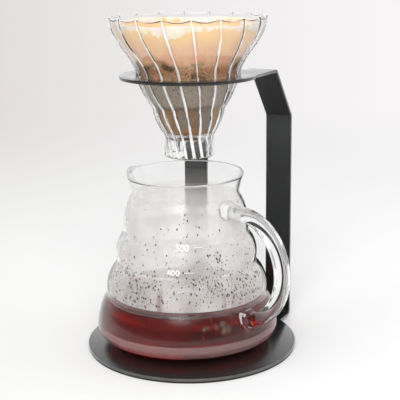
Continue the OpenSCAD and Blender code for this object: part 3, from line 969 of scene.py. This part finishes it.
def inside_film(name, low, top, rows, step, off_glass, turns):
    """A thin skin that follows the inside of the glass from one height to another."""
    levels = np.linspace(low, top, rows)
    profile = softened([*zip(server_inside_r(levels), levels)], step, SKIN_SOFT, ends="axis")
    profile = profile[SKIN_ENDS:-SKIN_ENDS]
    profile[:, 0] -= off_glass
    return server_lathe(name, profile, turns)


def rim_dip(turn):
    """How far the server's rim dips at a turn."""
    return RIM_DIP * (0.5 + 0.5 * np.cos(turn - RIM_DIP_TURN))


def make_server():
    """The blown body with its dipped rim and slight lip, fused with its handle."""
    lip = UPPER_WALL / 2
    arch = [(MOUTH_R - lip + lip * math.cos(a), MOUTH_Z + lip * math.sin(a))
            for a in np.linspace(0.3, math.pi - 0.3, 7)]
    corner = FLOOR_Z + INNER_HEEL * (1 - np.cos(np.linspace(math.pi / 2, 0, 24)))
    wall = np.linspace(MOUTH_Z, FLOOR_Z + INNER_HEEL + 0.3, 160)
    path = [(0.0, FOOT_Z + PUNT), (FOOT_R - FOOT_W, FOOT_Z), (FOOT_R, FOOT_Z), *SERVER_OUTLINE, *arch,
            *zip(server_inside_r(wall), wall), *zip(server_inside_r(corner), corner), (0.0, FLOOR_Z)]
    profile = softened(path, SERVER_STEP, SERVER_SOFT, ends="axis")
    profile[0, 0] = profile[-1, 0] = 0.0
    profile[:, 1] = np.maximum(profile[:, 1], FOOT_Z)
    obj = server_lathe("server_glass_body", profile, SERVER_TURNS)
    co = coordinates(obj)
    turn = server_turn(co)
    high = np.clip((co[:, 2] / MM - RIM_LOW_Z) / (MOUTH_Z - RIM_LOW_Z), 0, 1) ** RIM_CURVE
    co[:, 2] -= rim_dip(turn) * high * MM
    spout = high ** 2 * bell(turned_off(turn, SPOUT_TURN) / SPOUT_HALF) * MM
    co[:, 0] += SPOUT_OUT * np.cos(turn) * spout
    co[:, 1] += SPOUT_OUT * np.sin(turn) * spout
    co[:, 2] += SPOUT_UP * spout
    move_points(obj, co)
    face_outwards(obj)
    handle = make_handle()
    weld = obj.modifiers.new("weld", "BOOLEAN")
    weld.operation, weld.solver, weld.object = "UNION", "EXACT", handle
    mesh = evaluated_mesh(obj)
    obj.modifiers.remove(weld)
    obj.data = mesh
    bpy.data.objects.remove(handle)
    shade(mesh)
    # Besides the plain glass, glasses that paint light: a highlight on the lip and the welds, a pink
    # reflection at the foot and a red glow under the heel
    dress(mesh, server_glass(), glass_with_painted_light("server_lip_painted_highlight"),
          glass_with_painted_light("server_foot_painted_reflection", 0.83, (0.98, 0.62, 0.59), 0.06),
          glass_with_painted_light("server_weld_painted_highlight", 0.6, (0.98, 0.98, 0.97), 0.08),
          glass_with_painted_light("server_heel_painted_glow", 0.72, (0.80, 0.13, 0.10), 0.06))
    for face in mesh.polygons:
        face.material_index = server_glass_index(face)
    seat(obj, "server", "server_glass", None, "server_body", "server_handle")


def server_glass_index(face):
    """Which glass a face of the server has: 0 plain, 1 lip, 2 foot, 3 weld, 4 heel.

    The glasses 1 to 4 paint light: a highlight on the lip and the welds, a pink reflection at the foot and a
    red glow under the heel. The lower weld has its pale glass only in patches, painted glints."""
    x, y, z = face.center / MM
    proud = math.hypot(x - SERVER_X, y - SERVER_Y) - float(server_r(z))
    if z + rim_dip(math.atan2(y - SERVER_Y, x - SERVER_X)) > MOUTH_Z - LIP_GLASS:
        return 1
    if HEEL_GLASS_Z < z < FOOT_GLASS_Z and proud > -1:
        return 2
    if z < HEEL_GLASS_Z and face.normal.z < -0.2:
        return 4
    if z > LOW_WELD_Z:
        return 3 if WELD_FROM < proud < WELD_TO else 0
    # Painted glints: the lower weld's pale glass lies only in these patches
    patch = math.sin(2.1 * x + 0.4) + math.sin(1.7 * y + 1.1) + math.sin(2.7 * z) > 0.7
    return 3 if patch and LOW_WELD_FROM < proud < LOW_WELD_TO else 0


def handle_path():
    """Centre line in the handle's own plane: from the upper weld, round the loop, to the lower weld."""
    loop_r = (HANDLE_TOP - HANDLE_LOW) / 2
    loop_x = HANDLE_REACH - loop_r
    loop_z = (HANDLE_TOP + HANDLE_LOW) / 2
    start = float(server_r(HANDLE_TOP)) + HANDLE_START
    end = float(server_r(HANDLE_LOW)) + HANDLE_START
    points = [np.array([x, HANDLE_TOP]) for x in np.linspace(start, loop_x, 14)]
    last = -math.pi / 2 - math.asin((loop_x - end) / loop_r)
    for a in np.linspace(math.pi / 2, last, 90)[1:]:
        points.append(np.array([loop_x + loop_r * math.cos(a), loop_z + loop_r * math.sin(a)]))
    return resampled(points, HANDLE_STEP)


def handle_section(steps=6):
    across, up = HANDLE_T / 2 - HANDLE_ROUND, HANDLE_W / 2 - HANDLE_ROUND
    points = []
    for sx, sy, turn in ((1, 1, 0.0), (-1, 1, 0.5), (-1, -1, 1.0), (1, -1, 1.5)):
        for a in np.linspace(0, 0.5, steps):
            t = math.pi * (turn + a)
            points.append((sx * across + HANDLE_ROUND * math.cos(t), sy * up + HANDLE_ROUND * math.sin(t)))
    return np.array(points)


def make_handle():
    """The handle, whose ends reach half-way into the server's wall to be fused with it."""
    path = handle_path()
    along = np.gradient(path, axis=0)
    along /= np.linalg.norm(along, axis=1)[:, None]
    run = np.arange(len(path)) * HANDLE_STEP
    melt = bell(np.minimum(run, run[-1] - run) / WELD_RUN)
    section = handle_section()
    blob = section / np.linalg.norm(section, axis=1)[:, None] * HANDLE_W / 2 * WELD_SWELL
    cos_t, sin_t = math.cos(HANDLE_TURN), math.sin(HANDLE_TURN)
    verts = []
    last = len(path) - 1
    for i, ((x, z), (dx, dz), m) in enumerate(zip(path, along, melt)):
        for out, side in between(section, blob, m):
            r, h = x - dz * out, z + dx * out
            wall = math.sqrt(max(0.0, float(server_r(h) - server_wall(h) / 2) ** 2 - side ** 2))
            r = wall if i in (0, last) else max(r, wall + HANDLE_CLEAR * min(i, last - i))
            verts.append(((SERVER_X + r * cos_t - side * sin_t) * MM,
                          (SERVER_Y + r * sin_t + side * cos_t) * MM, h * MM))
    n = len(section)
    faces = [(i * n + k, i * n + (k + 1) % n, (i + 1) * n + (k + 1) % n, (i + 1) * n + k)
             for i in range(last) for k in range(n)]
    faces += [tuple(range(n)), tuple(range(last * n, len(path) * n))]
    return face_outwards(new_object("server_glass_handle", verts, faces))


def make_coffee():
    """The liquid with its meniscus. It reaches a little into the glass, so that no air shows between."""
    heel = 1 - np.cos(np.linspace(0, math.pi / 2, 24))
    levels = np.concatenate([FLOOR_Z - INTO_GLASS + (INNER_HEEL + INTO_GLASS) * heel,
                             np.linspace(FLOOR_Z + INNER_HEEL + 0.5, COFFEE_Z + MENISCUS, 24)])
    side = [(float(server_inside_r(max(z, FLOOR_Z))) + INTO_GLASS, z) for z in levels]
    edge = side[-1][0]
    top = [(edge - d, COFFEE_Z + MENISCUS * math.exp(-d / MENISCUS_RUN))
           for d in (0.5, 1, 1.5, 2.2, 3, 4, 5.5, 8)]
    profile = [(0.0, FLOOR_Z - INTO_GLASS), *side, *top, (0.0, COFFEE_Z)]
    obj = face_outwards(server_lathe("coffee_in_server", profile, SERVER_TURNS))
    seat(obj, "server", "coffee", coffee(), "brewed_coffee")
    make_bubbles(edge)


def make_bubbles(edge):
    """Bubbles that cling to the glass below the handle and float along the coffee's edge."""
    levels = np.linspace(BUBBLES_LOW_Z, BUBBLES_TOP_Z, 6)
    wall = [(float(server_inside_r(z)) - BUBBLES_OFF_GLASS, z) for z in levels]
    surface = [(edge - d, COFFEE_Z + BUBBLES_AFLOAT) for d in (1.6, 3.2, 5.0)]
    ring = server_lathe("coffee_bubbles", [*wall, *surface], 96)
    co = coordinates(ring)
    turn = server_turn(co)
    afloat = 0.25 + np.clip(np.cos(turn - FLOAT_TURN), 0, 1) ** 3
    clinging = 2.0 * bell(turned_off(turn, CLING_TURN) / CLING_HALF)
    point_values(ring, "wet", np.where(co[:, 2] > (COFFEE_Z + 0.2) * MM, afloat, clinging))
    froth = coffee_drops("coffee_bubbles", (0.34, 0.20, 0.16), (0.66, 0.50, 0.43), 0.86, 1.2, 0.1)
    bake_tree(ring, SCATTER, {"Density": 6.0e4, "Smallest": 0.0004, "Largest": 0.0028, "Flatness": 0.6,
                              "Longest": 1.7, "Subdivisions": 2, "Seed": 11, "Material": froth})
    seat(ring, "server", "coffee", None)


def make_spray():
    """Spray on the inside of the glass, in patches, thickest above the coffee and thin towards the neck."""
    carrier = inside_film("coffee_spray", SPRAY_LOW_Z, SPRAY_TOP_Z, 90, 0.8, SPRAY_OFF_GLASS, 120)
    co = coordinates(carrier)
    turn, z = server_turn(co), co[:, 2] / MM
    wet = np.interp(z, SPRAY_HEIGHTS, SPRAY_WETNESS)
    rng = np.random.default_rng(8)
    at = rng.uniform(-math.pi, math.pi, SPRAY_PATCHES)
    height = rng.uniform(*SPRAY_PATCH_Z, SPRAY_PATCHES)
    half = rng.uniform(*SPRAY_PATCH_HALF, SPRAY_PATCHES)
    patch = np.zeros(len(z))
    for a, h, wide in zip(at, height, half):
        patch += np.exp(-(turned_off(turn, a) / wide) ** 2 - ((z - h) / SPRAY_PATCH_H) ** 2)
    point_values(carrier, "wet", wet * (0.35 + patch))
    drops = coffee_drops("coffee_droplets", (0.03, 0.015, 0.012), (0.20, 0.14, 0.12), 0.3, 1.333, 0.05)
    bake_tree(carrier, SCATTER, {"Density": 2.6e5, "Smallest": 0.00011, "Largest": 0.00054, "Flatness": 0.5,
                                 "Longest": 2.2, "Subdivisions": 1, "Seed": 6, "Material": drops})
    seat(carrier, "server", "coffee", None)


def make_steam():
    film = inside_film("steam_on_glass", STEAM_LOW_Z, STEAM_TOP_Z, 110, 1.0, STEAM_OFF_GLASS, 240)
    co = coordinates(film)
    turn, z = np.degrees(server_turn(co)), co[:, 2] / MM
    run = np.zeros(len(co))
    for at, wide, top, strength in STEAM_RUNS:
        off = (turn - at + 180) % 360 - 180
        run += strength * bell(off / wide) * np.clip((top - z) / RUN_FADE, 0, 1)
    point_values(film, "run", np.clip(run, 0, 1))
    seat(film, "server", "server_glass", steam_film())


def wrap_on_server(obj):
    """Lays a flat print, drawn in millimetres, around the outside of the glass."""
    co = coordinates(obj)
    z = co[:, 1]
    r = server_r(z) + INK_GAP + co[:, 2]
    a = SCALE_TURN + co[:, 0] / server_r(z)
    move_points(obj, np.stack([SERVER_X + r * np.cos(a), SERVER_Y + r * np.sin(a), z], 1) * MM)
    obj.data.update()


def scale_number(label, z, left):
    curve = bpy.data.curves.new("number", "FONT")
    curve.body, curve.size = label, DIGIT_H
    curve.extrude, curve.offset, curve.resolution_u = INK / 2, DIGIT_BOLD, 4
    text = link_new("number", curve)
    mesh = evaluated_mesh(text)
    bpy.data.objects.remove(text)
    mesh.transform(Matrix.Translation((left, z - DIGIT_DROP, INK / 2)))
    return link_new("scale_number_" + label, mesh)


def scale_line(label, z, left):
    low, high = z - LINE_HALF, z + LINE_HALF
    verts, faces = [], []
    for x in np.linspace(left + LINE_START, left + LINE_END, LINE_ROWS):
        verts += [(x, low, 0.0), (x, high, 0.0), (x, high, INK), (x, low, INK)]
    last = len(verts) - 4
    for a in range(0, last, 4):
        faces += [(a + k, a + (k + 1) % 4, a + 4 + (k + 1) % 4, a + 4 + k) for k in range(4)]
    faces += [(0, 1, 2, 3), tuple(range(last, last + 4))]
    return new_object("scale_line_" + label, verts, faces, smooth=False)


def make_scale_marks():
    """Plain volume numbers and lines, printed on the outside of the glass."""
    ink = white_print()
    for mark in SCALE_MARKS:
        number, line = scale_number(*mark), scale_line(*mark)
        wrap_on_server(number)
        wrap_on_server(line)
        seat(number, "server", "server_glass", ink)
        seat(face_outwards(line), "server", "server_glass", ink)


# Studio and camera

def direction(turn, rise):
    """The way out from the stand at a turn around it, from the front, and a rise above the table."""
    return (math.sin(turn) * math.cos(rise), -math.cos(turn) * math.cos(rise), math.sin(rise))


def make_camera():
    data = bpy.data.cameras.new("camera")
    data.sensor_width = SENSOR
    data.lens = FOCAL_PIXELS * SENSOR / FRAME_PIXELS
    data.clip_start, data.clip_end = 0.01, 100.0
    camera = link_new("camera", data)
    ahead, aside = -CAMERA_DISTANCE * math.cos(CAMERA_STAND), CAMERA_DISTANCE * math.sin(CAMERA_STAND)
    place = Vector((aside, ahead, CAMERA_HEIGHT)) * MM
    turn = (Matrix.Rotation(CAMERA_HEADING, 4, "Z") @ Matrix.Rotation(math.pi / 2 - CAMERA_PITCH, 4, "X")
            @ Matrix.Rotation(-CAMERA_ROLL, 4, "Z"))
    camera.matrix_world = Matrix.Translation(place) @ turn
    bpy.context.scene.camera = camera


def seen_directly(t, rays):
    """The share that each named kind of ray sees, and 0 for the rest."""
    path = t.node("ShaderNodeLightPath")
    total = 0.0
    for ray, share in rays.items():
        total = t.math("ADD", total, t.times(path.outputs[ray], share), clamp=True)
    return total


def make_floor():
    """The white floor, lit near the stand and a pale glow further away, both with a painted shade that
    darkens them towards the left.
    """
    h = FLOOR_HALF
    floor = new_object("floor", [(-h, -h, 0), (h, -h, 0), (h, h, 0), (-h, h, 0)], [(0, 1, 2, 3)])
    material, t, shader = new_material("floor_white")
    place = t.object_place()
    across = t.dot(place, (math.cos(CAMERA_STAND), math.sin(CAMERA_STAND), 0.0))
    depth = t.dot(place, (-math.sin(CAMERA_STAND), math.cos(CAMERA_STAND), 0.0))
    away = t.vector_length(place)
    side = t.math("DIVIDE", across, t.math("MAXIMUM", t.math("ADD", depth, CAMERA_DISTANCE * MM), 0.3))
    # Painted shade: the near floor is darker towards the left
    near = t.ramp(t.span(side, -FLOOR_SIDE, FLOOR_SIDE), [
        (0.0, (0.82, 0.82, 0.815)), (0.5, (0.885, 0.885, 0.883)), (1.0, (0.895, 0.895, 0.895))])
    t.fill(shader, {"Base Color": near, "Roughness": 0.9, "Specular IOR Level": 0.1})
    # The far glow carries the same painted shade, darker towards the left
    far = t.ramp(t.span(side, -FLOOR_SIDE, FLOOR_SIDE), [
        (0.0, (0.76, 0.725, 0.72)), (0.5, (0.86, 0.845, 0.845)), (1.0, (0.93, 0.913, 0.92))])
    backdrop = rgb(*(BACKDROP_LEVEL * c for c in BACKDROP))
    far = t.blend(t.span(away, *FAR_FLOOR, smooth=True), far, backdrop)
    glow = t.node("ShaderNodeEmission", {"Color": far})
    seen = seen_directly(t, {"Is Camera Ray": 1.0, "Is Glossy Ray": 1.0, "Is Transmission Ray": 1.0})
    t.mix_surface(t.times(seen, t.span(away, *NEAR_FLOOR, smooth=True)), shader, glow)
    floor.data.materials.append(material)


def soft_window(w, way):
    """A bright patch of the room with soft edges."""
    aside = (math.cos(WINDOW_TURN), math.sin(WINDOW_TURN), 0.0)
    above = direction(WINDOW_TURN, WINDOW_RISE + math.pi / 2)
    x = w.math("DIVIDE", w.dot(way, aside), WINDOW_WIDE)
    y = w.math("DIVIDE", w.dot(way, above), WINDOW_TALL)
    fall = w.math("EXPONENT", w.times(w.math("ADD", w.times(x, x), w.times(y, y)), -1.0))
    ahead = w.math("GREATER_THAN", w.dot(way, direction(WINDOW_TURN, WINDOW_RISE)), 0.0)
    glow = w.times(w.times(fall, WINDOW_BRIGHT), ahead)
    return w.node("ShaderNodeCombineXYZ", {"X": glow, "Y": glow, "Z": glow}).outputs[0]


def make_room():
    """The surroundings that light the stand and show in its glass, behind a pale backdrop."""
    world = bpy.data.worlds.new("studio")
    bpy.context.scene.world = world
    world.use_nodes = True
    w = Tree(world.node_tree)
    way = w.node("ShaderNodeTexCoord").outputs["Generated"]
    behind = w.dot(way, direction(ROOM_TURN, ROOM_RISE))
    walls = w.ramp(w.span(behind, -0.15, 0.5), [
        (0.0, (1.2, 1.2, 1.2)), (0.5, (0.45, 0.45, 0.45)), (1.0, (0.16, 0.16, 0.16))])
    ceiling = w.span(w.node("ShaderNodeSeparateXYZ", {0: way}).outputs["Z"], 0.5, 0.8, smooth=True)
    studio = w.blend(ceiling, walls, rgb(0.95, 0.95, 0.95))
    studio = w.blend(1.0, studio, soft_window(w, way), "ADD")
    pale = seen_directly(w, {"Is Camera Ray": 1.0, "Is Transmission Ray": 0.3})
    w.fill(world.node_tree.nodes["Background"], {
        "Color": w.blend(pale, studio, rgb(*BACKDROP)), "Strength": BACKDROP_LEVEL})


def make_lamp(name, turn, rise, away, side, power):
    data = bpy.data.lights.new(name, "AREA")
    data.shape = "RECTANGLE"
    data.size = data.size_y = side
    data.energy = power
    light = link_new(name, data)
    way = Vector(direction(math.radians(turn), math.radians(rise)))
    light.location = Vector((0, 0, LAMP_AIM_Z)) + way * away
    light.rotation_euler = (-way).to_track_quat("-Z", "Y").to_euler()
    light.visible_glossy = light.visible_transmission = False


make_camera()
make_floor()
make_room()
for lamp in LAMPS:
    make_lamp(*lamp)

make_stand()
dress(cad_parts["anti_slip_pad"].data, pad_rubber())
make_dripper()
sheet_of_paper = filter_paper()
make_filter(sheet_of_paper)
make_seam(sheet_of_paper)
make_grounds(wet_grounds())
make_server()
make_coffee()
make_spray()
make_steam()
make_scale_marks()

scene = bpy.context.scene
scene.view_settings.view_transform = "Standard"
